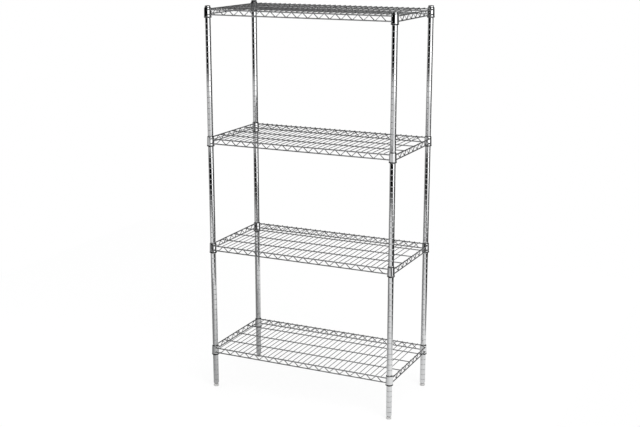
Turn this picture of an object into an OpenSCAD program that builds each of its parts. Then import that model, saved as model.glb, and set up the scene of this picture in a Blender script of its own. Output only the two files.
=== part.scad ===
// Wire shelving unit: four grooved posts carry four wire shelves on tapered split sleeves.
// Frame: +Z up, +X along the long side, -Y is the front, origin on the floor at the middle.

/* [Layout] */
// Distance between post centres along the length
post_span_x = 900; // [700:10:1200]
// Distance between post centres along the depth
post_span_y = 432; // [340:4:600]
// Groove of the post that holds the bottom shelf, counted from 0 at the lowest
shelf_1_groove = 6; // [3:1:12]
// Groove that holds the second shelf
shelf_2_groove = 26; // [18:1:34]
// Groove that holds the third shelf
shelf_3_groove = 46; // [40:1:56]
// Groove that holds the top shelf, counted down from 0 at the highest in which its sleeves fit
shelf_4_groove = 0; // [0:1:7]

/* [Posts] */
// Outer diameter of a post
post_d = 25.4; // [22:0.2:30]
// Wall of the post tube
post_wall = 1.5; // [1.2:0.1:2.5]
// Length of the post tube
post_l = 1797; // [1790:1:1815]
// Distance from groove to groove
groove_pitch = 25.4; // [25:0.1:25.6]
// Height of the lowest groove above the lower end of the tube
groove_first = 17.6; // [10:0.2:20]
// Width of a groove at the surface of the tube
groove_w = 2.4; // [1.6:0.1:3.2]
// Depth of a groove
groove_depth = 0.7; // [0.4:0.05:0.9]

/* [Caps] */
// How far the head of the cap reaches past the tube all round
cap_rim = 0.4; // [0:0.1:1]
// Height of the head of the cap at its edge
cap_edge_h = 1.6; // [1:0.1:4]
// Rise of the domed top of the cap above its edge
cap_dome_h = 1.8; // [0.5:0.1:4]
// Depth of the cap's plug in the tube
cap_plug_h = 14; // [8:1:25]

/* [Sleeves] */
// Height of the ring at the foot of a sleeve, which shows below the collar
ring_h = 5; // [3:0.2:8]
// How far the ring reaches past the collar all round
ring_proud = 0.5; // [0:0.1:2]
// How far the sleeve shows above the collar
sleeve_show = 2.5; // [1:0.1:5]
// Wall of the sleeve just above its ring
sleeve_wall_low = 2.2; // [1.8:0.1:3.2]
// Wall of the sleeve at its top
sleeve_wall_top = 1.1; // [0.8:0.1:1.7]
// Height of the inner bead, which sits in a groove, above the foot of the sleeve
bead_z = 24; // [15:0.5:32]
// Gap between the two halves of a sleeve
split_gap = 0.8; // [0.4:0.1:2]

/* [Collars] */
// Height of a collar
collar_h = 38.7; // [34:0.1:45]
// Wall of a collar
collar_wall = 1.6; // [1.2:0.1:2.5]

/* [Wires] */
// Diameter of the upper and lower rails
rail_d = 5.6; // [4.5:0.1:7]
// Distance from the lower rail to the upper rail, centre to centre
rail_gap = 22; // [19:0.5:24]
// Distance from the top of the collar down to the centre of the upper rail
rail_drop = 8; // [6:0.5:9]
// Distance from the centre of a post to the end of a rail, along the rail
rail_end = 6; // [4:0.5:9]
// Diameter of the zigzag truss wire
truss_d = 3.8; // [3:0.1:4.5]
// How far the corners of the truss wire stop short of the middle of the rails
truss_short = 1; // [0:0.2:2]
// Diameter of the stringers that run along the shelf under the deck wires
stringer_d = 5; // [4:0.1:5.6]
// Diameter of a deck wire
deck_d = 3.2; // [2.6:0.1:4.5]
// Distance from deck wire to deck wire, and from bend to bend of the truss wire
deck_pitch = 26; // [24:0.5:30]
// Least distance from the centre of a post to the first deck wire
deck_start = 34; // [28:1:50]
// How far one welded wire bites into another
weld = 0.1; // [0.05:0.01:0.2]

/* [Feet] */
// Diameter of a foot's pad
pad_d = 25; // [20:0.5:32]
// Height of a foot's pad
pad_h = 8.4; // [6:0.2:12]
// Chamfer round the pad's lower edge
pad_chamfer = 1.2; // [0.4:0.1:2]
// Distance across the flats of the foot's hexagon
hex_af = 11; // [10.5:0.1:14]
// Height of the hexagon between pad and tube
hex_h = 7; // [4:0.2:10]
// Diameter of the foot's threaded stem, over the thread
stem_d = 7.94; // [6:0.02:9]
// Length of the threaded stem above the hexagon
stem_l = 30; // [24:1:40]
// Diameter of the journal on which the pad turns
journal_d = 7; // [5:0.1:7.5]
// Thickness of the pad's floor under the journal
pad_floor = 2.7; // [2:0.1:4]
// Length of the threaded insert in the tube
insert_l = 25; // [18:1:32]

/* [Clearances] */
// Radial clearance of a sleeve on its post and of a plug or insert in the tube
seat_gap = 0.05; // [0.02:0.01:0.1]
// Radial clearance between the tapers of sleeve and collar
taper_gap = 0.2; // [0.1:0.05:0.3]
// Clearance between faces of pieces that move against each other
face_gap = 0.3; // [0.2:0.05:0.4]
// Radial clearance of the stem in its insert and of the journal in the pad
run_gap = 0.08; // [0.04:0.01:0.1]

/* [Hidden] */
$fn = 48;
CORNERS = ["front_left", "front_right", "rear_left", "rear_right"];
SHELVES = [1, 2, 3, 4];
corner_signs = [[-1, -1], [1, -1], [-1, 1], [1, 1]];
overcut = 1;

// Heights of post and shelves
post_r = post_d / 2;
tube_r = post_r - post_wall;
tube_z = pad_h + face_gap + hex_h + face_gap;
tube_top = tube_z + post_l;
groove_count = floor((post_l - groove_first - groove_w) / groove_pitch) + 1;
groove_floor_w = groove_w / 3;

// Sleeve and collar, with heights counted from the foot of the sleeve
sleeve_r = post_r + seat_gap;
collar_z = ring_h + face_gap;
collar_top = collar_z + collar_h;
sleeve_h = collar_top + sleeve_show;
cone_low_r = sleeve_r + sleeve_wall_low;
cone_top_r = sleeve_r + sleeve_wall_top;
bead_w = groove_floor_w;
bead_r = post_r - groove_depth + seat_gap;

// Groove of each shelf, the top one as high as its sleeves fit below the end of the tube
top_groove = floor((post_l - groove_first - (sleeve_h - bead_z)) / groove_pitch);
shelf_grooves = [shelf_1_groove, shelf_2_groove, shelf_3_groove, top_groove - shelf_4_groove];

// Radius of the sleeve's taper at height z
function cone_r(z) = cone_low_r + (cone_top_r - cone_low_r) * (z - ring_h) / (sleeve_h - ring_h);

// Inner and outer radius of the collar at height z
function collar_in(z) = cone_r(z) + taper_gap;
function collar_out(z) = collar_in(z) + collar_wall;
ring_r = collar_out(collar_z) + ring_proud;

// Rails, truss, stringers and deck, with heights counted from the foot of the sleeve
rail_r = rail_d / 2;
upper_z = collar_top - rail_drop;
lower_z = upper_z - rail_gap;
rail_out = collar_out(upper_z) - rail_r;
rail_x = post_span_x / 2 + rail_out;
rail_y = post_span_y / 2 + rail_out;
truss_r = truss_d / 2;
truss_in = rail_r + truss_r - weld;
truss_top = upper_z - truss_short;
truss_low = lower_z + truss_short;
stringer_z = upper_z + rail_r - stringer_d / 2;
deck_z = upper_z + rail_r + deck_d / 2 - weld;
stringer_count = 3;

// Whole steps of the deck's pitch from the middle of a side of the given span to the first wire at its post
function half_steps(span) = floor((span / 2 - deck_start) / deck_pitch + 1e-6);
half_steps_x = half_steps(post_span_x);
half_steps_y = half_steps(post_span_y);

// Feet
stem_r = stem_d / 2;
journal_r = journal_d / 2;
hex_z = pad_h + face_gap;
journal_z = pad_floor + face_gap;

// Height of the foot of the sleeves under shelf n, whose beads sit in that shelf's groove
function shelf_z(n) = tube_z + groove_first + groove_pitch * shelf_grooves[n - 1] - bead_z;

// Puts its children at the centre line of post number c
module at_post(c) {
    translate([corner_signs[c][0] * post_span_x / 2, corner_signs[c][1] * post_span_y / 2, 0])
        children();
}

// Puts its children at all four posts
module at_posts() {
    for (c = [0:3]) at_post(c) children();
}

// Solid taper of the collar's outside or inside, from z_from to z_to, larger by extra
module collar_cone(z_from, z_to, r_from, r_to, extra = 0) {
    translate([0, 0, z_from])
        cylinder(h = z_to - z_from, r1 = r_from + extra, r2 = r_to + extra);
}

// Chrome tube with rolled grooves at an even pitch
module post(c) {
    grooves = [for (k = [0:groove_count - 1]) groove_first + groove_pitch * k];
    outline = concat(
        [[tube_r, 0], [post_r, 0]],
        [for (z = grooves, p = [
            [post_r, z - groove_w / 2],
            [post_r - groove_depth, z - groove_floor_w / 2],
            [post_r - groove_depth, z + groove_floor_w / 2],
            [post_r, z + groove_w / 2]
        ]) p],
        [[post_r, post_l], [tube_r, post_l]]
    );
    color("silver")
        at_post(c) translate([0, 0, tube_z]) rotate_extrude() polygon(outline);
}

// Domed cap with a plug that closes the top of the tube
module post_cap(c) {
    head_r = post_r + cap_rim;
    dome_r = (head_r * head_r + cap_dome_h * cap_dome_h) / (2 * cap_dome_h);
    color("gainsboro")
        at_post(c) translate([0, 0, tube_top]) {
            translate([0, 0, -cap_plug_h])
                cylinder(h = cap_plug_h + cap_edge_h / 2, r = tube_r - seat_gap);
            cylinder(h = cap_edge_h, r = head_r);
            intersection() {
                translate([0, 0, cap_edge_h / 2]) cylinder(h = cap_edge_h + cap_dome_h, r = head_r);
                translate([0, 0, cap_edge_h + cap_dome_h - dome_r]) sphere(r = dome_r, $fn = 96);
            }
        }
}

// Two half shells with a ring at the foot, a taper for the collar and a bead for the groove
module sleeve(n, c) {
    outline = [
        [sleeve_r, 0],
        [ring_r, 0],
        [ring_r, ring_h],
        [cone_low_r, ring_h],
        [cone_top_r, sleeve_h],
        [sleeve_r, sleeve_h],
        [sleeve_r, bead_z + bead_w / 2],
        [bead_r, bead_z + bead_w / 4],
        [bead_r, bead_z - bead_w / 4],
        [sleeve_r, bead_z - bead_w / 2]
    ];
    color("black")
        at_post(c) translate([0, 0, shelf_z(n)]) difference() {
            rotate_extrude() polygon(outline);
            translate([-ring_r - overcut, -split_gap / 2, -overcut])
                cube([2 * (ring_r + overcut), split_gap, sleeve_h + 2 * overcut]);
        }
}

// Four tapered collars, one at each corner of the shelf
module collars(n) {
    color("silver")
        translate([0, 0, shelf_z(n)]) at_posts() difference() {
            collar_cone(collar_z, collar_top, collar_out(collar_z), collar_out(collar_top));
            collar_cone(collar_z - overcut, collar_top + overcut,
                collar_in(collar_z - overcut), collar_in(collar_top + overcut));
        }
}

// Four rails round the shelf at height z, coped where they meet the collars
module rail_frame(z) {
    length_x = post_span_x - 2 * rail_end;
    length_y = post_span_y - 2 * rail_end;
    difference() {
        translate([0, 0, z]) {
            for (side = [-1, 1]) {
                translate([-length_x / 2, side * rail_y, 0])
                    rotate([0, 90, 0]) cylinder(h = length_x, r = rail_r);
                translate([side * rail_x, length_y / 2, 0])
                    rotate([90, 0, 0]) cylinder(h = length_y, r = rail_r);
            }
        }
        at_posts()
            collar_cone(collar_z, collar_top, collar_out(collar_z), collar_out(collar_top), -weld);
    }
}

module upper_rails(n) {
    color("darkgray") translate([0, 0, shelf_z(n)]) rail_frame(upper_z);
}

module lower_rails(n) {
    color("darkgray") translate([0, 0, shelf_z(n)]) rail_frame(lower_z);
}

// Zigzag wire along X in the plane y = 0, with steps half waves on each side of a low middle bend
module zigzag(steps) {
    rise = truss_top - truss_low;
    slope = atan(rise / deck_pitch);
    for (k = [-steps:steps - 1])
        // Leg from the bend at step k to the bend at step k + 1, mitred at both
        intersection() {
            translate([(k + 0.5) * deck_pitch, 0, (truss_top + truss_low) / 2])
                rotate([0, k % 2 == 0 ? 90 - slope : 90 + slope, 0])
                    cylinder(h = 2 * deck_pitch / cos(slope), r = truss_r, center = true, $fn = 24);
            translate([k * deck_pitch, -truss_d, truss_low - rise])
                cube([deck_pitch, 2 * truss_d, 3 * rise]);
        }
}

// Four zigzag wires, welded to the inner side of the rails
module truss_wires(n) {
    color("gray")
        translate([0, 0, shelf_z(n)])
            for (side = [-1, 1]) {
                translate([0, side * (rail_y - truss_in), 0]) zigzag(half_steps_x);
                translate([side * (rail_x - truss_in), 0, 0]) rotate([0, 0, 90]) zigzag(half_steps_y);
            }
}

// Stringers along the shelf, coped where they butt against the side rails
module stringers(n) {
    spacing = 2 * rail_y / (stringer_count + 1);
    color("gray")
        translate([0, 0, shelf_z(n)]) difference() {
            for (k = [1:stringer_count])
                translate([-rail_x, -rail_y + spacing * k, stringer_z])
                    rotate([0, 90, 0]) cylinder(h = 2 * rail_x, r = stringer_d / 2, $fn = 32);
            for (side = [-1, 1])
                translate([side * rail_x, rail_y, upper_z])
                    rotate([90, 0, 0]) cylinder(h = 2 * rail_y, r = rail_r - weld);
        }
}

// Deck wires from front to rear, on top of the stringers and of the upper rails
module deck_wires(n) {
    length = 2 * (rail_y + rail_r * 0.8);
    color("lightgray")
        translate([0, 0, shelf_z(n) + deck_z])
            for (k = [-half_steps_x:half_steps_x])
                translate([k * deck_pitch, length / 2, 0])
                    rotate([90, 0, 0]) cylinder(h = length, r = deck_d / 2, $fn = 24);
}

// Threaded insert, pressed into the lower end of the tube
module foot_insert(c) {
    color("dimgray")
        at_post(c) translate([0, 0, tube_z]) difference() {
            cylinder(h = insert_l, r = tube_r - seat_gap);
            translate([0, 0, -overcut]) cylinder(h = insert_l + 2 * overcut, r = stem_r + run_gap);
        }
}

// Stem of the levelling foot: journal for the pad, hexagon for a spanner, thread for the insert
module foot_stem(c) {
    color("silver")
        at_post(c) {
            translate([0, 0, journal_z]) cylinder(h = hex_z - journal_z + hex_h / 2, r = journal_r);
            translate([0, 0, hex_z]) cylinder(h = hex_h, r = hex_af / sqrt(3), $fn = 6);
            translate([0, 0, hex_z + hex_h / 2]) cylinder(h = hex_h / 2 + stem_l, r = stem_r);
        }
}

// Pad that rests on the floor, with a socket in which the stem turns
module foot_pad(c) {
    pad_r = pad_d / 2;
    color("whitesmoke")
        at_post(c) difference() {
            rotate_extrude() polygon([
                [0, 0],
                [pad_r - pad_chamfer, 0],
                [pad_r, pad_chamfer],
                [pad_r, pad_h - pad_chamfer / 2],
                [pad_r - pad_chamfer / 2, pad_h],
                [0, pad_h]
            ]);
            translate([0, 0, pad_floor]) cylinder(h = pad_h, r = journal_r + run_gap);
        }
}

for (c = [0:3]) {
    post(c);
    post_cap(c);
    foot_insert(c);
    foot_stem(c);
    foot_pad(c);
    for (n = SHELVES)
        sleeve(n, c);
}
for (n = SHELVES) {
    collars(n);
    upper_rails(n);
    lower_rails(n);
    truss_wires(n);
    stringers(n);
    deck_wires(n);
}
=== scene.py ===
"""Chrome wire shelving unit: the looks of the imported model, in metres, in the row frame."""

import math

import bpy
from mathutils import Matrix, Vector


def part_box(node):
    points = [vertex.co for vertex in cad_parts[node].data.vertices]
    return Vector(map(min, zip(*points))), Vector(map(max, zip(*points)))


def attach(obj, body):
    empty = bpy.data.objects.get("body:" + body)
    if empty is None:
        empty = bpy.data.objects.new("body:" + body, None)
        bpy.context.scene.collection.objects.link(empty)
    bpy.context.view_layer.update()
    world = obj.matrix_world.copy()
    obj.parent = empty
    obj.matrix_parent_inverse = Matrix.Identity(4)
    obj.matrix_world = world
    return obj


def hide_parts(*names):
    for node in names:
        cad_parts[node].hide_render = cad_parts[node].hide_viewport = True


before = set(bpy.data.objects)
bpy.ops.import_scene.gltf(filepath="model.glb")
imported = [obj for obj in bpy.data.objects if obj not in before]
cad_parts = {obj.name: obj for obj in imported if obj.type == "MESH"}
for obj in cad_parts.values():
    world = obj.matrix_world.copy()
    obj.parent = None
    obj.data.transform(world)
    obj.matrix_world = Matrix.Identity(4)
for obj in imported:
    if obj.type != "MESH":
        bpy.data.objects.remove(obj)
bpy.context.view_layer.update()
scene = bpy.context.scene

# Places of the posts, as signs of x and y
CORNERS = {
    "front_left": (-1, -1),
    "front_right": (1, -1),
    "rear_left": (-1, 1),
    "rear_right": (1, 1),
}
SHELVES = (1, 2, 3, 4)

# Sizes of the solids, in metres, the same as in the part's source
POST_X = 0.45
POST_Y = 0.216
POST_R = 0.0127
TUBE_R = 0.0112
TUBE_Z = 0.016
POST_L = 1.797
GROOVE_PITCH = 0.0254
GROOVE_FIRST = 0.0176
GROOVE_W = 0.0024
GROOVE_DEPTH = 0.0007
GROOVE_COUNT = 70
CAP_R = 0.0131
CAP_EDGE = 0.0016
CAP_DOME = 0.0018
PLUG_L = 0.014
SLEEVE_R = 0.01275
RING_H = 0.005
SLEEVE_H = 0.0465
HALF_SEAM = 0.0004
INNER_BEAD_Z = 0.024
COLLAR_Z = 0.0053
COLLAR_TOP = 0.044
CONE_LOW_R = 0.01495
CONE_TOP_R = 0.01385
TAPER_GAP = 0.0002
SEAT_GAP = 0.00005
COLLAR_WALL = 0.0016
RING_R = 0.017242
RAIL_R = 0.0028
RAIL_OUT = 0.013127
UPPER_Z = 0.036
LOWER_Z = 0.014
TRUSS_R = 0.0019
TRUSS_IN = 0.0046
STRINGER_R = 0.0025
DECK_R = 0.0016
DECK_Z = 0.0403
DECK_PITCH = 0.026
STEPS_X = 16
STEPS_Y = 7
RAIL_X = POST_X + RAIL_OUT
RAIL_Y = POST_Y + RAIL_OUT
JOURNAL_R = 0.0035
JOURNAL_Z = (0.003, 0.0092)
HEXAGON_FLATS = 0.011
HEXAGON_Z = (0.0087, 0.0157)
THREAD_R = 0.00397
THREAD_DEPTH = 0.0008
THREAD_PITCH = 0.00141111
THREAD_Z = (0.0155, 0.0457)
PAD_R = 0.0125
PAD_H = 0.0084
PAD_BORE_R = 0.00358
PAD_BORE_Z = 0.0027

# Small forms that only the scene has
TUBE_LIP = 0.0003
COLLAR_LIP_OUT = 0.0007
COLLAR_LIP_IN = 0.0003
BEND_R = 0.0045
TRUSS_INSET = 0.0008
TRUSS_TAIL = 0.006
DECK_OVERHANG = 0.8 * RAIL_R
WIRE_CHAMFER = 0.0004
# Half sizes of the weld beads, along x, y and z
WELD_DECK_ON_RAIL = (0.0019, 0.002, 0.0008)
WELD_DECK_ON_STRINGER = (0.0019, 0.0019, 0.0008)
WELD_TRUSS_X = (0.0026, 0.0013, 0.0014)
WELD_TRUSS_Y = (0.0013, 0.0026, 0.0014)
WELD_STRINGER_END = (0.0016, 0.0029, 0.0026)
WELD_RAIL_X_END = (0.0022, 0.0018, 0.0029)
WELD_RAIL_Y_END = (0.0018, 0.0022, 0.0029)
WELD_INSET = 0.0016


# Shader nodes


def node(tree, kind, **inputs):
    """A new shader node with some of its inputs set. An underscore in a name stands for a space."""
    made = tree.nodes.new(kind)
    for name, value in inputs.items():
        made.inputs[name.replace("_", " ")].default_value = value
    return made


def feed(tree, socket, value):
    """Sets a socket to a number, or links another node's output to it."""
    if isinstance(value, (int, float)):
        socket.default_value = value
    else:
        tree.links.new(value, socket)


def maths(tree, operation, *values):
    """A Math node of one operation. Gives its output."""
    made = tree.nodes.new("ShaderNodeMath")
    made.operation = operation
    for socket, value in zip(made.inputs, values):
        feed(tree, socket, value)
    return made.outputs[0]


def mixed(tree, mask, below, above):
    """The number below where the mask is 0, and the number above where it is 1."""
    made = tree.nodes.new("ShaderNodeMix")
    for place, value in ((0, mask), (2, below), (3, above)):
        feed(tree, made.inputs[place], value)
    return made.outputs[0]


def mapped(tree, value, span_in, span_out, kind="LINEAR"):
    """The value carried over from one span of numbers to another."""
    made = node(tree, "ShaderNodeMapRange", From_Min=span_in[0], From_Max=span_in[1],
                To_Min=span_out[0], To_Max=span_out[1])
    made.interpolation_type = kind
    tree.links.new(value, made.inputs["Value"])
    return made.outputs["Result"]


def noise(tree, vector, scale, detail=2.0, rough=0.5):
    """A cloudy noise at a place."""
    made = node(tree, "ShaderNodeTexNoise", Scale=scale, Detail=detail, Roughness=rough)
    tree.links.new(vector, made.inputs["Vector"])
    return made.outputs["Fac"]


# Materials


def new_material(name):
    """A material, its node tree, its shader and the object's own coordinates."""
    material = bpy.data.materials.new(name)
    material.use_nodes = True
    tree = material.node_tree
    place = tree.nodes.new("ShaderNodeTexCoord").outputs["Object"]
    return material, tree, tree.nodes["Principled BSDF"], place


def tint(tree, shader, cloud, dark, light):
    """Colours the shader from dark to light, by a cloudy noise."""
    ramp = tree.nodes.new("ShaderNodeValToRGB")
    low, high = ramp.color_ramp.elements
    low.position = 0.3
    low.color = (*dark, 1)
    high.position = 0.7
    high.color = (*light, 1)
    tree.links.new(cloud, ramp.inputs["Fac"])
    tree.links.new(ramp.outputs["Color"], shader.inputs["Base Color"])


def relief(tree, shader, height, strength, depth):
    """A fine bump on the shader."""
    made = node(tree, "ShaderNodeBump", Strength=strength, Distance=depth)
    tree.links.new(height, made.inputs["Height"])
    tree.links.new(made.outputs["Normal"], shader.inputs["Normal"])


def metal(name, dark, light, rough, grain, bump):
    """Plated metal: a cloudy tint, roughness that changes over the surface and a fine grain in its bump."""
    haze_scale = 9.0
    smear_scale = 54.0
    noise_span = (0.12, 0.4)
    material, tree, shader, place = new_material(name)
    shader.inputs["Metallic"].default_value = 1.0
    tint(tree, shader, noise(tree, place, haze_scale, detail=4.0, rough=0.6), dark, light)

    stretch = node(tree, "ShaderNodeMapping", Scale=grain)
    tree.links.new(place, stretch.inputs["Vector"])
    fine = noise(tree, stretch.outputs["Vector"], 1.0, detail=3.0, rough=0.55)
    smear = noise(tree, place, smear_scale, detail=3.0, rough=0.6)
    roughness = mapped(tree, maths(tree, "MULTIPLY", fine, smear), noise_span, rough)
    tree.links.new(roughness, shader.inputs["Roughness"])
    relief(tree, shader, fine, bump, depth=0.0002)
    return material


def plastic(name, dark, light, rough, specular):
    """Moulded plastic: near-even colour, satin, with the fine grain of the mould."""
    cloud_scale = 60
    grain_scale = 1800
    material, tree, shader, place = new_material(name)
    shader.inputs["Specular IOR Level"].default_value = specular
    cloud = noise(tree, place, cloud_scale, detail=3.0)
    tint(tree, shader, cloud, dark, light)
    tree.links.new(mapped(tree, cloud, (0, 1), rough), shader.inputs["Roughness"])
    relief(tree, shader, noise(tree, place, grain_scale), strength=0.12, depth=0.0001)
    return material


# Dark tint, light tint, roughness from and to, scale of the grain along x, y and z, strength of its bump
EVEN_GRAIN = (700, 700, 700)
LONG_GRAIN = (900, 900, 30)
METALS = {
    "post_chrome": ((0.6, 0.605, 0.61), (0.7, 0.705, 0.71), (0.02, 0.07), LONG_GRAIN, 0.02),
    "collar_chrome": ((0.6, 0.605, 0.61), (0.7, 0.705, 0.71), (0.03, 0.09), EVEN_GRAIN, 0.04),
    "wire_chrome": ((0.46, 0.465, 0.47), (0.56, 0.565, 0.57), (0.07, 0.18), EVEN_GRAIN, 0.03),
    "cap_chrome": ((0.58, 0.585, 0.59), (0.68, 0.685, 0.69), (0.05, 0.12), EVEN_GRAIN, 0.04),
    "insert_steel": ((0.4, 0.4, 0.41), (0.5, 0.5, 0.51), (0.3, 0.45), EVEN_GRAIN, 0.1),
    "stem_steel": ((0.58, 0.58, 0.59), (0.68, 0.68, 0.69), (0.22, 0.36), EVEN_GRAIN, 0.1),
}
# Dark tint, light tint, roughness from and to, specular level
PLASTICS = {
    "sleeve_plastic": ((0.006, 0.006, 0.0065), (0.012, 0.012, 0.0125), (0.4, 0.52), 0.3),
    "pad_plastic": ((0.8, 0.8, 0.79), (0.88, 0.88, 0.87), (0.4, 0.5), 0.5),
}
MATERIALS = {name: metal(name, *values) for name, values in METALS.items()}
MATERIALS |= {name: plastic(name, *values) for name, values in PLASTICS.items()}
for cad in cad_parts.values():
    for place in cad.material_slots:
        place.material = MATERIALS[place.material.name.split(".")[0]]


# Mesh code: a part is a list of points and a list of faces


def piece(name, verts, faces, slot_name, body, stands_for=(), crease=35):
    """A smooth mesh with sharp edges where it turns by more than crease degrees, riding on a body."""
    mesh = bpy.data.meshes.new(name)
    mesh.from_pydata(verts, [], faces)
    mesh.validate()
    mesh.polygons.foreach_set("use_smooth", [True] * len(mesh.polygons))
    mesh.set_sharp_from_angle(angle=math.radians(crease))
    mesh.materials.append(MATERIALS[slot_name])
    made = bpy.data.objects.new(name, mesh)
    scene.collection.objects.link(made)
    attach(made, body)
    if stands_for:
        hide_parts(*stands_for)


def joined(parts):
    """One list of points and faces from several."""
    verts, faces = [], []
    for part_verts, part_faces in parts:
        start = len(verts)
        verts += part_verts
        faces += [tuple(start + i for i in face) for face in part_faces]
    return verts, faces


def moved(part, x=0.0, y=0.0, z=0.0):
    """The part in another place."""
    return [(a + x, b + y, c + z) for a, b, c in part[0]], part[1]


def circle(radius, z, count):
    """Points round Z, anticlockwise from above."""
    angles = [2 * math.pi * k / count for k in range(count)]
    return [(radius * math.cos(angle), radius * math.sin(angle), z) for angle in angles]


def tube_faces(levels, segments):
    """Faces round a stack of rings of points, with a face over each end."""
    faces = []
    for k in range(levels - 1):
        low = k * segments
        high = low + segments
        for s in range(segments):
            t = (s + 1) % segments
            faces.append((low + s, low + t, high + t, high + s))
    faces.append(tuple(reversed(range(segments))))
    faces.append(tuple((levels - 1) * segments + s for s in range(segments)))
    return faces


def lathe(profile, segments=48, span=None):
    """Turns a closed outline of (r, z) round Z, anticlockwise in the r-z plane. Points on the axis become
    poles. span gives, for a radius, the first and last angle of a part turn, which gets end faces."""
    full = span is None
    verts, rings = [], []
    for r, z in profile:
        if r < 1e-9:
            rings.append([len(verts)])
            verts.append((0.0, 0.0, z))
            continue
        start, stop = (0.0, 2 * math.pi) if full else span(r)
        count = segments if full else segments + 1
        ring = []
        for k in range(count):
            angle = start + (stop - start) * k / segments
            ring.append(len(verts))
            verts.append((r * math.cos(angle), r * math.sin(angle), z))
        rings.append(ring)
    faces = []
    pairs = list(zip(rings, rings[1:] + rings[:1]))
    if len(rings[0]) == 1 and len(rings[-1]) == 1:
        pairs = pairs[:-1]
    for low, high in pairs:
        count = max(len(low), len(high))
        steps = count if full else count - 1
        for k in range(steps):
            m = (k + 1) % count
            if len(low) == 1:
                faces.append((low[0], high[m], high[k]))
            elif len(high) == 1:
                faces.append((low[k], low[m], high[0]))
            else:
                faces.append((low[k], low[m], high[m], high[k]))
    if not full:
        faces.append(tuple(ring[0] for ring in rings))
        faces.append(tuple(ring[-1] for ring in reversed(rings)))
    return verts, faces


def rounded(corners, steps=3):
    """The points of a closed outline, given as (point, radius) pairs, with its corners rounded."""
    out = []
    for k, (point, radius) in enumerate(corners):
        if radius == 0:
            out.append(point)
            continue
        corner = Vector(point)
        back = (Vector(corners[k - 1][0]) - corner).normalized()
        ahead = (Vector(corners[(k + 1) % len(corners)][0]) - corner).normalized()
        half = back.angle(ahead) / 2
        reach = radius / math.tan(half)
        centre = corner + (back + ahead).normalized() * (radius / math.sin(half))
        start = corner + back * reach - centre
        stop = corner + ahead * reach - centre
        turn = start.angle_signed(stop)
        for s in range(steps + 1):
            spoke = start.copy()
            spoke.rotate(Matrix.Rotation(-turn * s / steps, 2))
            out.append(tuple(centre + spoke))
    return out


def sweep(points, across, radius, segments=14):
    """A round wire along a plane line of points. across is the unit vector square to that plane. The ends are
    a little thinner, as if rounded off."""
    end_share = 0.8
    verts = []
    last = len(points) - 1
    for k, point in enumerate(points):
        along = (points[min(k + 1, last)] - points[max(k - 1, 0)]).normalized()
        side = across.cross(along)
        r = radius * (end_share if k in (0, last) else 1.0)
        for s in range(segments):
            angle = 2 * math.pi * s / segments
            verts.append(tuple(point + (side * math.cos(angle) + across * math.sin(angle)) * r))
    return verts, tube_faces(len(points), segments)


def rod(start, stop, radius, segments=20):
    """A straight wire whose cut ends are rounded off."""
    start, stop = Vector(start), Vector(stop)
    along = (stop - start).normalized()
    near = along * WIRE_CHAMFER
    next_to = along * (WIRE_CHAMFER * 4 / 3)
    points = [start, start + near, start + next_to, stop - next_to, stop - near, stop]
    return sweep(points, along.orthogonal().normalized(), radius, segments)


def bead(centre, size, segments=10, rings=5):
    """A small weld bead: a squashed ball with half sizes size."""
    ball = [(0.0, 0.0, -1.0)]
    for k in range(1, rings):
        angle = math.pi * k / rings
        ball += circle(math.sin(angle), -math.cos(angle), segments)
    ball.append((0.0, 0.0, 1.0))
    verts = [tuple(c + half * p for c, half, p in zip(centre, size, point)) for point in ball]
    last = len(verts) - 1
    faces = []
    for s in range(segments):
        t = (s + 1) % segments
        faces.append((0, 1 + t, 1 + s))
        for k in range(rings - 2):
            low = 1 + k * segments
            faces.append((low + s, low + t, low + segments + t, low + segments + s))
        top = 1 + (rings - 2) * segments
        faces.append((top + s, top + t, last))
    return verts, faces


# Posts, caps and sleeves


def groove_points(z):
    """Section of a rolled groove at a height, soft at the shoulders, and a point of the tube at each side."""
    # from its edge to its middle: place in half widths, depth as a share of the full depth
    half_section = [(1.5, 0.0), (1.0, 0.0), (0.8, 0.06), (0.6, 0.3), (0.38, 0.72), (0.16, 0.97)]
    section = [(-place, depth) for place, depth in half_section] + half_section[::-1]
    return [(POST_R - GROOVE_DEPTH * depth, z + GROOVE_W / 2 * place) for place, depth in section]


def post_part():
    """Grooved tube. The points next to the end lips keep its shading even."""
    outline = [(TUBE_R, POST_L), (TUBE_R, 0.0)]
    outline += [(POST_R - TUBE_LIP, 0.0), (POST_R, TUBE_LIP), (POST_R, 2 * TUBE_LIP)]
    for k in range(GROOVE_COUNT):
        outline += groove_points(GROOVE_FIRST + GROOVE_PITCH * k)
    outline += [(POST_R, POST_L - 2 * TUBE_LIP), (POST_R, POST_L - TUBE_LIP), (POST_R - TUBE_LIP, POST_L)]
    return lathe(outline, segments=40)


def cap_part():
    """Plug with a lead-in, and a thin head with a domed top. The head's rim is eased below and above."""
    plug_r = TUBE_R - SEAT_GAP
    nose_r = TUBE_R - 0.0012
    lead_in = 0.002
    under_r = CAP_R - 0.0003
    rim_low = 0.0004
    rim_high = CAP_EDGE - 0.0006
    dome_r = CAP_R - 0.0002
    dome_z = CAP_EDGE - 0.0001
    dome_steps = 9
    outline = [(0.0, -PLUG_L), (nose_r, -PLUG_L), (plug_r, -PLUG_L + lead_in), (plug_r, 0.0)]
    outline += [(under_r, 0.0), (CAP_R, rim_low), (CAP_R, rim_high), (dome_r, dome_z)]
    for k in range(1, dome_steps):
        angle = math.pi / 2 * k / dome_steps
        rise = (CAP_EDGE + CAP_DOME - dome_z) * math.sin(angle)
        outline.append((dome_r * math.cos(angle) ** 0.8, dome_z + rise))
    outline.append((0.0, CAP_EDGE + CAP_DOME))
    return lathe(outline, segments=48)


def cone_r(z):
    """Radius of the sleeves' taper at a height."""
    return CONE_LOW_R + (CONE_TOP_R - CONE_LOW_R) * (z - RING_H) / (SLEEVE_H - RING_H)


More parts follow.
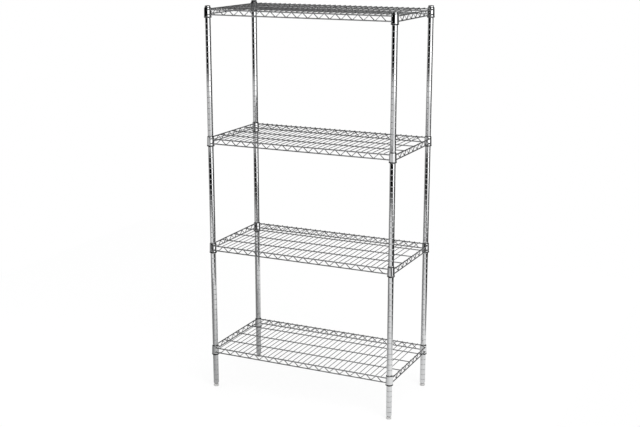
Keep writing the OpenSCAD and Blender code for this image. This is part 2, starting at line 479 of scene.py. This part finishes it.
def sleeve_halves():
    """The two half shells, with a seam between them. Inside, a bead sits in a groove of the post. The ring of
    points next to the upper lip keeps the shading even."""
    even = SLEEVE_H - 0.0008
    bead_w = GROOVE_W / 3
    bead_r = POST_R - GROOVE_DEPTH + SEAT_GAP
    corners = [
        ((SLEEVE_R, 0.0), 0.0003),
        ((RING_R, 0.0), 0.0009),
        ((RING_R, RING_H), 0.0007),
        ((CONE_LOW_R, RING_H), 0),
        ((cone_r(even), even), 0),
        ((CONE_TOP_R, SLEEVE_H), 0.0003),
        ((SLEEVE_R, SLEEVE_H), 0.0002),
        ((SLEEVE_R, INNER_BEAD_Z + bead_w / 2), 0),
        ((bead_r, INNER_BEAD_Z + bead_w / 4), 0),
        ((bead_r, INNER_BEAD_Z - bead_w / 4), 0),
        ((SLEEVE_R, INNER_BEAD_Z - bead_w / 2), 0),
    ]
    outline = rounded(corners)

    def rear_span(r):
        """First and last angle of the rear half at a radius."""
        edge = math.asin(HALF_SEAM / r)
        return edge, math.pi - edge

    def front_span(r):
        """The same for the front half."""
        start, stop = rear_span(r)
        return start + math.pi, stop + math.pi

    return lathe(outline, 30, front_span), lathe(outline, 30, rear_span)


def collar_part():
    """Tapered collar with rolled lips. The rings next to the lips keep the shading of the long cone even."""
    inner = TAPER_GAP
    outer = TAPER_GAP + COLLAR_WALL
    even_low = COLLAR_Z + 0.0012
    even_high = COLLAR_TOP - 0.0012
    corners = [
        ((cone_r(COLLAR_Z) + inner, COLLAR_Z), COLLAR_LIP_IN),
        ((cone_r(COLLAR_Z) + outer, COLLAR_Z), COLLAR_LIP_OUT),
        ((cone_r(even_low) + outer, even_low), 0),
        ((cone_r(even_high) + outer, even_high), 0),
        ((cone_r(COLLAR_TOP) + outer, COLLAR_TOP), COLLAR_LIP_OUT),
        ((cone_r(COLLAR_TOP) + inner, COLLAR_TOP), COLLAR_LIP_IN),
    ]
    return lathe(rounded(corners), segments=56)


post = post_part()
cap = cap_part()
halves = sleeve_halves()
for corner, (sx, sy) in CORNERS.items():
    at = dict(x=sx * POST_X, y=sy * POST_Y)
    tube = moved(post, z=TUBE_Z, **at)
    piece(f"tube_{corner}", *tube, "post_chrome", "post_set", [f"post_{corner}"], crease=50)
    lid = moved(cap, z=TUBE_Z + POST_L, **at)
    piece(f"cap_{corner}", *lid, "cap_chrome", "post_set", [f"post_cap_{corner}"])
    for n in SHELVES:
        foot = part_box(f"sleeve_{n}_{corner}")[0].z
        for half, part in zip(("front", "rear"), halves):
            # the front half stands for the whole sleeve of the solids
            stands = [f"sleeve_{n}_{corner}"] if half == "front" else []
            name = f"sleeve_half_{n}_{corner}_{half}"
            piece(name, *moved(part, z=foot, **at), "sleeve_plastic", "post_set", stands)


# Shelves


def bend_line(steps, high, low):
    """Centre line of a zigzag wire, as (u, w) points: low in the middle, with round bends that reach to high
    and low, and with a short tail along the rail at each end."""
    arc_steps = 5
    tail_start = 0.9 * TRUSS_TAIL
    middle = (high + low) / 2
    # the slope and the reach of the sharp zigzag depend on each other, so they start from a guess
    guess = 40
    rounds = 20
    angle = math.radians(guess)
    for _ in range(rounds):
        reach = (high - low) / 2 + BEND_R * (1 / math.cos(angle) - 1)
        angle = math.atan(2 * reach / DECK_PITCH)
    points = []
    for k in range(-steps, steps + 1):
        up = 1 if k % 2 else -1
        centre_w = middle + up * (reach - BEND_R / math.cos(angle))
        for s in range(-arc_steps, arc_steps + 1):
            if (k == -steps and s < 0) or (k == steps and s > 0):
                continue
            turn = angle * s / arc_steps
            points.append((k * DECK_PITCH + BEND_R * math.sin(turn), centre_w + up * BEND_R * math.cos(turn)))
    first, last = points[0], points[-1]
    before = [(first[0] - TRUSS_TAIL, first[1]), (first[0] - tail_start, first[1])]
    after = [(last[0] + tail_start, last[1]), (last[0] + TRUSS_TAIL, last[1])]
    return before + points + after


def truss_part():
    """Zigzag wires on the inside of the rails, front and rear, left and right."""
    high = UPPER_Z - TRUSS_INSET
    low = LOWER_Z + TRUSS_INSET
    long_line = bend_line(STEPS_X, high, low)
    short_line = bend_line(STEPS_Y, high, low)
    parts = []
    for side in (-1, 1):
        y = side * (RAIL_Y - TRUSS_IN)
        parts.append(sweep([Vector((u, y, w)) for u, w in long_line], Vector((0, 1, 0)), TRUSS_R))
        x = side * (RAIL_X - TRUSS_IN)
        parts.append(sweep([Vector((x, u, w)) for u, w in short_line], Vector((1, 0, 0)), TRUSS_R))
    return joined(parts)


def deck_part():
    """Deck wires from front to rear."""
    reach = RAIL_Y + DECK_OVERHANG
    places = [k * DECK_PITCH for k in range(-STEPS_X, STEPS_X + 1)]
    return joined([rod((x, -reach, DECK_Z), (x, reach, DECK_Z), DECK_R) for x in places])


def weld_part():
    """Weld beads: deck wires on rails and stringers, truss bends on rails, and stringers at their ends."""
    beads = []
    contact = DECK_Z - DECK_R
    stringer_z = UPPER_Z + RAIL_R - STRINGER_R
    rows = [row * RAIL_Y / 2 for row in (-1, 0, 1)]
    for k in range(-STEPS_X, STEPS_X + 1):
        x = k * DECK_PITCH
        bend_z = UPPER_Z if k % 2 else LOWER_Z
        beads += [bead((x, y, contact), WELD_DECK_ON_RAIL) for y in (-RAIL_Y, RAIL_Y)]
        beads += [bead((x, y, contact), WELD_DECK_ON_STRINGER) for y in rows]
        beads += [bead((x, side * (RAIL_Y - RAIL_R), bend_z), WELD_TRUSS_X) for side in (-1, 1)]
    for k in range(-STEPS_Y, STEPS_Y + 1):
        bend_z = UPPER_Z if k % 2 else LOWER_Z
        beads += [bead((side * (RAIL_X - RAIL_R), k * DECK_PITCH, bend_z), WELD_TRUSS_Y) for side in (-1, 1)]
    for y in rows:
        beads += [bead((side * (RAIL_X - RAIL_R), y, stringer_z), WELD_STRINGER_END) for side in (-1, 1)]
    return joined(beads)


def joint_welds():
    """Beads where the rails run into the collars."""
    beads = []
    to_bead = RAIL_OUT - WELD_INSET
    for z in (UPPER_Z, LOWER_Z):
        out = cone_r(z) + TAPER_GAP + COLLAR_WALL
        reach = math.sqrt(out * out - (RAIL_OUT - RAIL_R) ** 2)
        for sx, sy in CORNERS.values():
            x, y = sx * POST_X, sy * POST_Y
            beads.append(bead((x - sx * reach, y + sy * to_bead, z), WELD_RAIL_X_END))
            beads.append(bead((x + sx * to_bead, y - sy * reach, z), WELD_RAIL_Y_END))
    return joined(beads)


truss = truss_part()
deck = deck_part()
welds = joined([weld_part(), joint_welds()])
collar = collar_part()
collars = joined([moved(collar, sx * POST_X, sy * POST_Y) for sx, sy in CORNERS.values()])
for n in SHELVES:
    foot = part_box(f"shelf_{n}_collars")[0].z - COLLAR_Z
    body = f"shelf_{n}"
    piece(f"{body}_round_collars", *moved(collars, z=foot), "collar_chrome", body, [f"{body}_collars"])
    piece(f"{body}_bent_truss", *moved(truss, z=foot), "wire_chrome", body, [f"{body}_truss_wires"])
    piece(f"{body}_deck", *moved(deck, z=foot), "wire_chrome", body, [f"{body}_deck_wires"])
    piece(f"{body}_welds", *moved(welds, z=foot), "wire_chrome", body)


# Levelling feet


def thread(z_low, z_high, crest_r, depth, pitch):
    """A threaded rod, closed at both ends, whose thread runs out over one turn at each end."""
    segments = 28
    per_turn = 10
    # steepness of the flanks and width of the flat root
    flank = 2.5
    root_flat = 0.5
    # shares of the depth: of the plain ends under the crest radius, and of the ridge over the core
    run_out = 0.55
    ridge_share = 0.891
    rings = int((z_high - z_low) / pitch * per_turn)
    verts = []
    for k in range(rings + 1):
        z = z_low + (z_high - z_low) * k / rings
        ease = min(1.0, (z - z_low) / pitch, (z_high - z) / pitch)
        core_r = crest_r - depth * (run_out + (1 - run_out) * ease)
        for s in range(segments):
            angle = 2 * math.pi * s / segments
            phase = ((z - z_low) / pitch - s / segments) % 1.0
            ridge = max(0.0, min(1.0, flank * (1 - abs(2 * phase - 1)) - root_flat))
            r = core_r + depth * ease * ridge_share * ridge
            verts.append((r * math.cos(angle), r * math.sin(angle), z))
    return verts, tube_faces(rings + 1, segments)


def hexagon(z_low, z_high, across_flats):
    """A hexagon whose corners are turned down to a cone at both ends."""
    segments = 48
    chamfer = 0.0009
    flat = across_flats / 2
    sixth = math.pi / 3
    # from the end inwards: height, and the radius at which the corners are cut there
    end_levels = [(0.0, 0.9 * flat), (0.0, flat), (0.5 * chamfer, 1.08 * flat), (chamfer, 1.1547 * flat)]
    levels = [(z_low + z, limit) for z, limit in end_levels]
    levels += [(z_high - z, limit) for z, limit in reversed(end_levels)]
    verts = []
    for z, limit in levels:
        for s in range(segments):
            angle = 2 * math.pi * s / segments
            from_flat = (angle + sixth / 2) % sixth - sixth / 2
            r = min(flat / math.cos(from_flat), limit)
            verts.append((r * math.cos(angle), r * math.sin(angle), z))
    return verts, tube_faces(len(levels), segments)


def stem_part():
    """Journal for the pad, hexagon for the spanner and thread."""
    low, high = JOURNAL_Z
    edge = 0.0003
    corners = [((0.0, low), 0), ((JOURNAL_R, low), edge), ((JOURNAL_R, high), edge), ((0.0, high), 0)]
    journal = lathe(rounded(corners), segments=32)
    nut = hexagon(*HEXAGON_Z, HEXAGON_FLATS)
    return joined([journal, nut, thread(*THREAD_Z, THREAD_R, THREAD_DEPTH, THREAD_PITCH)])


def pad_part():
    """Flared pad with a blind bore for the journal."""
    waist_z = 0.0022
    corners = [
        ((0.0, 0.0), 0),
        ((PAD_R - 0.0009, 0.0), 0.0008),
        ((PAD_R, waist_z), 0.002),
        ((PAD_R - 0.0008, PAD_H), 0.0011),
        ((PAD_BORE_R, PAD_H), 0.0003),
        ((PAD_BORE_R, PAD_BORE_Z), 0),
        ((0.0, PAD_BORE_Z), 0),
    ]
    return lathe(rounded(corners), segments=56)


stem = stem_part()
pad = pad_part()
for corner, (sx, sy) in CORNERS.items():
    at = dict(x=sx * POST_X, y=sy * POST_Y)
    screw = moved(stem, **at)
    piece(f"stem_{corner}_threaded", *screw, "stem_steel", f"stem_{corner}", [f"foot_stem_{corner}"])
    piece(f"pad_{corner}_moulded", *moved(pad, **at), "pad_plastic", f"pad_{corner}", [f"foot_pad_{corner}"])


# Studio

WHITE = (1, 1, 1, 1)
# Strength of the world: for the matt parts, and in the chrome where no card lies
EVEN_LIGHT = 0.75
STUDIO = 0.42
# Cards that the chrome mirrors, each laid over the ones before it, by direction in the world, in degrees:
# azimuth from and to, elevation from and to, softness, brightness, and lean: how far its left edge moves to
# the right for each degree down. Azimuth 0 is in front of the shelves, 90 on their right.
CARDS = [
    # dim ceiling, darker overhead, with a soft light high on the left
    (-200, 200, 3, 95, 5, 0.12, 0),
    (-200, 200, 34, 95, 8, 0.03, 0),
    (-106, -66, 9, 36, 6, 1.6, 0),
    # dim wall behind the shelves and a dark one at the right rear
    (140, 220, -60, 20, 8, 0.22, 0),
    (-220, -134, -60, 20, 8, 0.22, 0),
    (93, 156, -40, 36, 5, 0.06, 0),
    # black flags in front, a bright ground below them and a dark strip down its right side
    (-68, 20, -14, 60, 3, 0.0, 0),
    (16, 60, -14.3, -8.7, 3, 0.0, 0),
    (-46, 140, -100, -13.9, 2, 1.0, 0),
    (12, 150, -21.5, -13.3, 2.5, 0.02, 13),
    # soft box on the right with a brighter middle, dark above it
    (30, 92, -9.8, 8, 5, 1.5, 0),
    (40, 76, -9.8, 8, 5, 2.6, 0),
    (-20, 96, 10, 45, 5, 0.02, 0),
    # soft light overhead, which fills the grooves
    (-90, 30, 52, 86, 6, 0.8, 0),
    # leaning lower end of the soft box and the dark edge beside it
    (30, 86, -14.4, -7.7, 4, 1.5, 4),
    (40, 76, -14.4, -7.7, 4, 2.6, 4),
    (22, 42, -16.5, -12.8, 2, 0.02, 5.5),
    # light band across the front
    (-70, 26, -10.9, -7.3, 1, 0.7, 0),
    (30, 92, -10.8, -8.2, 1, 1.1, 0),
    # brightest ground, near the shelves
    (-8, 140, -100, -25.5, 2, 3.0, 0),
    # dark bands along the horizon
    (-116, 22, -3.2, 7, 3, 0.0, 0),
    (86, 176, -3.2, 7, 3, 0.03, 0),
]

FLOOR_X = (-2.6, 1.15)
FLOOR_Y = (-1.9, 2.4)
FLOOR_GREY = 0.25
# With the light on the grey, this shows white to the camera
FLOOR_GLOW = 0.795
# Painted light in the chrome: the floor's glow runs from the first to the second value over this span of x
FLOOR_PAINTED_GLOW_X = (-1.0, 0.9)
FLOOR_PAINTED_GLOW = (0.04, 0.86)

KEY_PLACE = (2.6, -2.2, 3.6)
KEY_AIM = (0, 0, 0.8)
KEY_SIZE = 2.2
KEY_WATTS = 60

CAMERA_LENS = 64.546
CAMERA_SENSOR = 36.0
CAMERA_PLACE = (2.2337, -4.6900, 2.1596)
# Degrees below the horizon, and degrees to the left of the direction of Y
CAMERA_DOWN = 14.068
CAMERA_LEFT = 25.434


def card_mask(tree, azimuth, elevation, az_span, el_span, soft, lean):
    """1 inside a card and 0 outside, soft at the edges."""
    az_from, az_to = az_span
    el_from, el_to = el_span
    left_edge = azimuth
    if lean:
        over_top = maths(tree, "SUBTRACT", elevation, el_to)
        left_edge = maths(tree, "ADD", azimuth, maths(tree, "MULTIPLY", over_top, lean))
    sides = [
        (left_edge, az_from - soft, az_from + soft),
        (azimuth, az_to + soft, az_to - soft),
        (elevation, el_from - soft / 2, el_from + soft / 2),
        (elevation, el_to + soft / 2, el_to - soft / 2),
    ]
    steps = [mapped(tree, value, (start, stop), (0, 1), "SMOOTHSTEP") for value, start, stop in sides]
    across = maths(tree, "MULTIPLY", steps[0], steps[1])
    upright = maths(tree, "MULTIPLY", steps[2], steps[3])
    return maths(tree, "MULTIPLY", across, upright)


def background(tree, strength):
    """White light from the world."""
    made = node(tree, "ShaderNodeBackground", Color=WHITE)
    feed(tree, made.inputs["Strength"], strength)
    return made.outputs[0]


def mixed_shaders(tree, mask, below, above):
    """The shader below where the mask is 0, and the shader above where it is 1."""
    made = tree.nodes.new("ShaderNodeMixShader")
    for socket, output in zip(made.inputs, (mask, below, above)):
        tree.links.new(output, socket)
    return made.outputs[0]


def studio_world():
    """White for the camera. In the chrome it is a studio with cards, and for the rest an even light."""
    world = bpy.data.worlds.new("studio")
    scene.world = world
    world.use_nodes = True
    tree = world.node_tree
    tree.nodes.clear()

    split = tree.nodes.new("ShaderNodeSeparateXYZ")
    tree.links.new(tree.nodes.new("ShaderNodeTexCoord").outputs["Generated"], split.inputs[0])
    x, y, z = (split.outputs[k] for k in range(3))
    degrees = math.degrees(1)
    forward = maths(tree, "MULTIPLY", y, -1.0)
    azimuth = maths(tree, "MULTIPLY", maths(tree, "ARCTAN2", x, forward), degrees)
    elevation = maths(tree, "MULTIPLY", maths(tree, "ARCSINE", z), degrees)
    mirrored = STUDIO
    for az_from, az_to, el_from, el_to, soft, brightness, lean in CARDS:
        mask = card_mask(tree, azimuth, elevation, (az_from, az_to), (el_from, el_to), soft, lean)
        mirrored = mixed(tree, mask, mirrored, brightness)

    path = tree.nodes.new("ShaderNodeLightPath")
    even = background(tree, EVEN_LIGHT)
    lit = mixed_shaders(tree, path.outputs["Is Glossy Ray"], even, background(tree, mirrored))
    seen = mixed_shaders(tree, path.outputs["Is Camera Ray"], lit, background(tree, 1.0))
    out = tree.nodes.new("ShaderNodeOutputWorld")
    tree.links.new(seen, out.inputs["Surface"])


def floor():
    """A pale floor that shows white, with a soft shadow. In the chrome it glows with painted light, brighter
    on the right.
    """
    corners = [(FLOOR_X[i], FLOOR_Y[j], 0) for i, j in ((0, 0), (1, 0), (1, 1), (0, 1))]
    mesh = bpy.data.meshes.new("floor")
    mesh.from_pydata(corners, [], [(0, 1, 2, 3)])
    made = bpy.data.objects.new("floor", mesh)
    scene.collection.objects.link(made)
    material = bpy.data.materials.new("floor")
    material.use_nodes = True
    tree = material.node_tree
    tree.nodes.clear()
    dull = node(tree, "ShaderNodeBsdfDiffuse", Color=(FLOOR_GREY, FLOOR_GREY, FLOOR_GREY, 1))
    split = tree.nodes.new("ShaderNodeSeparateXYZ")
    tree.links.new(tree.nodes.new("ShaderNodeTexCoord").outputs["Object"], split.inputs[0])
    # painted light: a glow on the floor, seen only in the chrome, dark on the left and bright on the right
    ramp = mapped(tree, split.outputs["X"], FLOOR_PAINTED_GLOW_X, FLOOR_PAINTED_GLOW)
    path = tree.nodes.new("ShaderNodeLightPath")
    painted_glow_in_chrome = maths(tree, "MULTIPLY", ramp, path.outputs["Is Glossy Ray"])
    glow = node(tree, "ShaderNodeEmission", Color=WHITE)
    feed(tree, glow.inputs["Strength"], mixed(tree, path.outputs["Is Camera Ray"], painted_glow_in_chrome, FLOOR_GLOW))
    both = tree.nodes.new("ShaderNodeAddShader")
    tree.links.new(dull.outputs[0], both.inputs[0])
    tree.links.new(glow.outputs[0], both.inputs[1])
    out = tree.nodes.new("ShaderNodeOutputMaterial")
    tree.links.new(both.outputs[0], out.inputs["Surface"])
    mesh.materials.append(material)


def key_lamp():
    """Soft lamp from the front right, for the matt parts and the shadow. The chrome doesn't mirror it."""
    light = bpy.data.lights.new("key", "AREA")
    light.shape = "SQUARE"
    light.size = KEY_SIZE
    light.energy = KEY_WATTS
    made = bpy.data.objects.new("key", light)
    scene.collection.objects.link(made)
    made.location = KEY_PLACE
    made.rotation_mode = "QUATERNION"
    made.rotation_quaternion = (Vector(KEY_AIM) - Vector(KEY_PLACE)).to_track_quat("-Z", "Y")
    made.visible_glossy = False


def set_camera():
    """Camera that meets the photograph, without shift."""
    camera_data = bpy.data.cameras.new("camera")
    camera_data.sensor_width = CAMERA_SENSOR
    camera_data.lens = CAMERA_LENS
    camera = bpy.data.objects.new("camera", camera_data)
    scene.collection.objects.link(camera)
    camera.location = CAMERA_PLACE
    camera.rotation_euler = (math.radians(90 - CAMERA_DOWN), 0, math.radians(CAMERA_LEFT))
    scene.camera = camera
    scene.view_settings.view_transform = "Standard"


studio_world()
floor()
key_lamp()
set_camera()
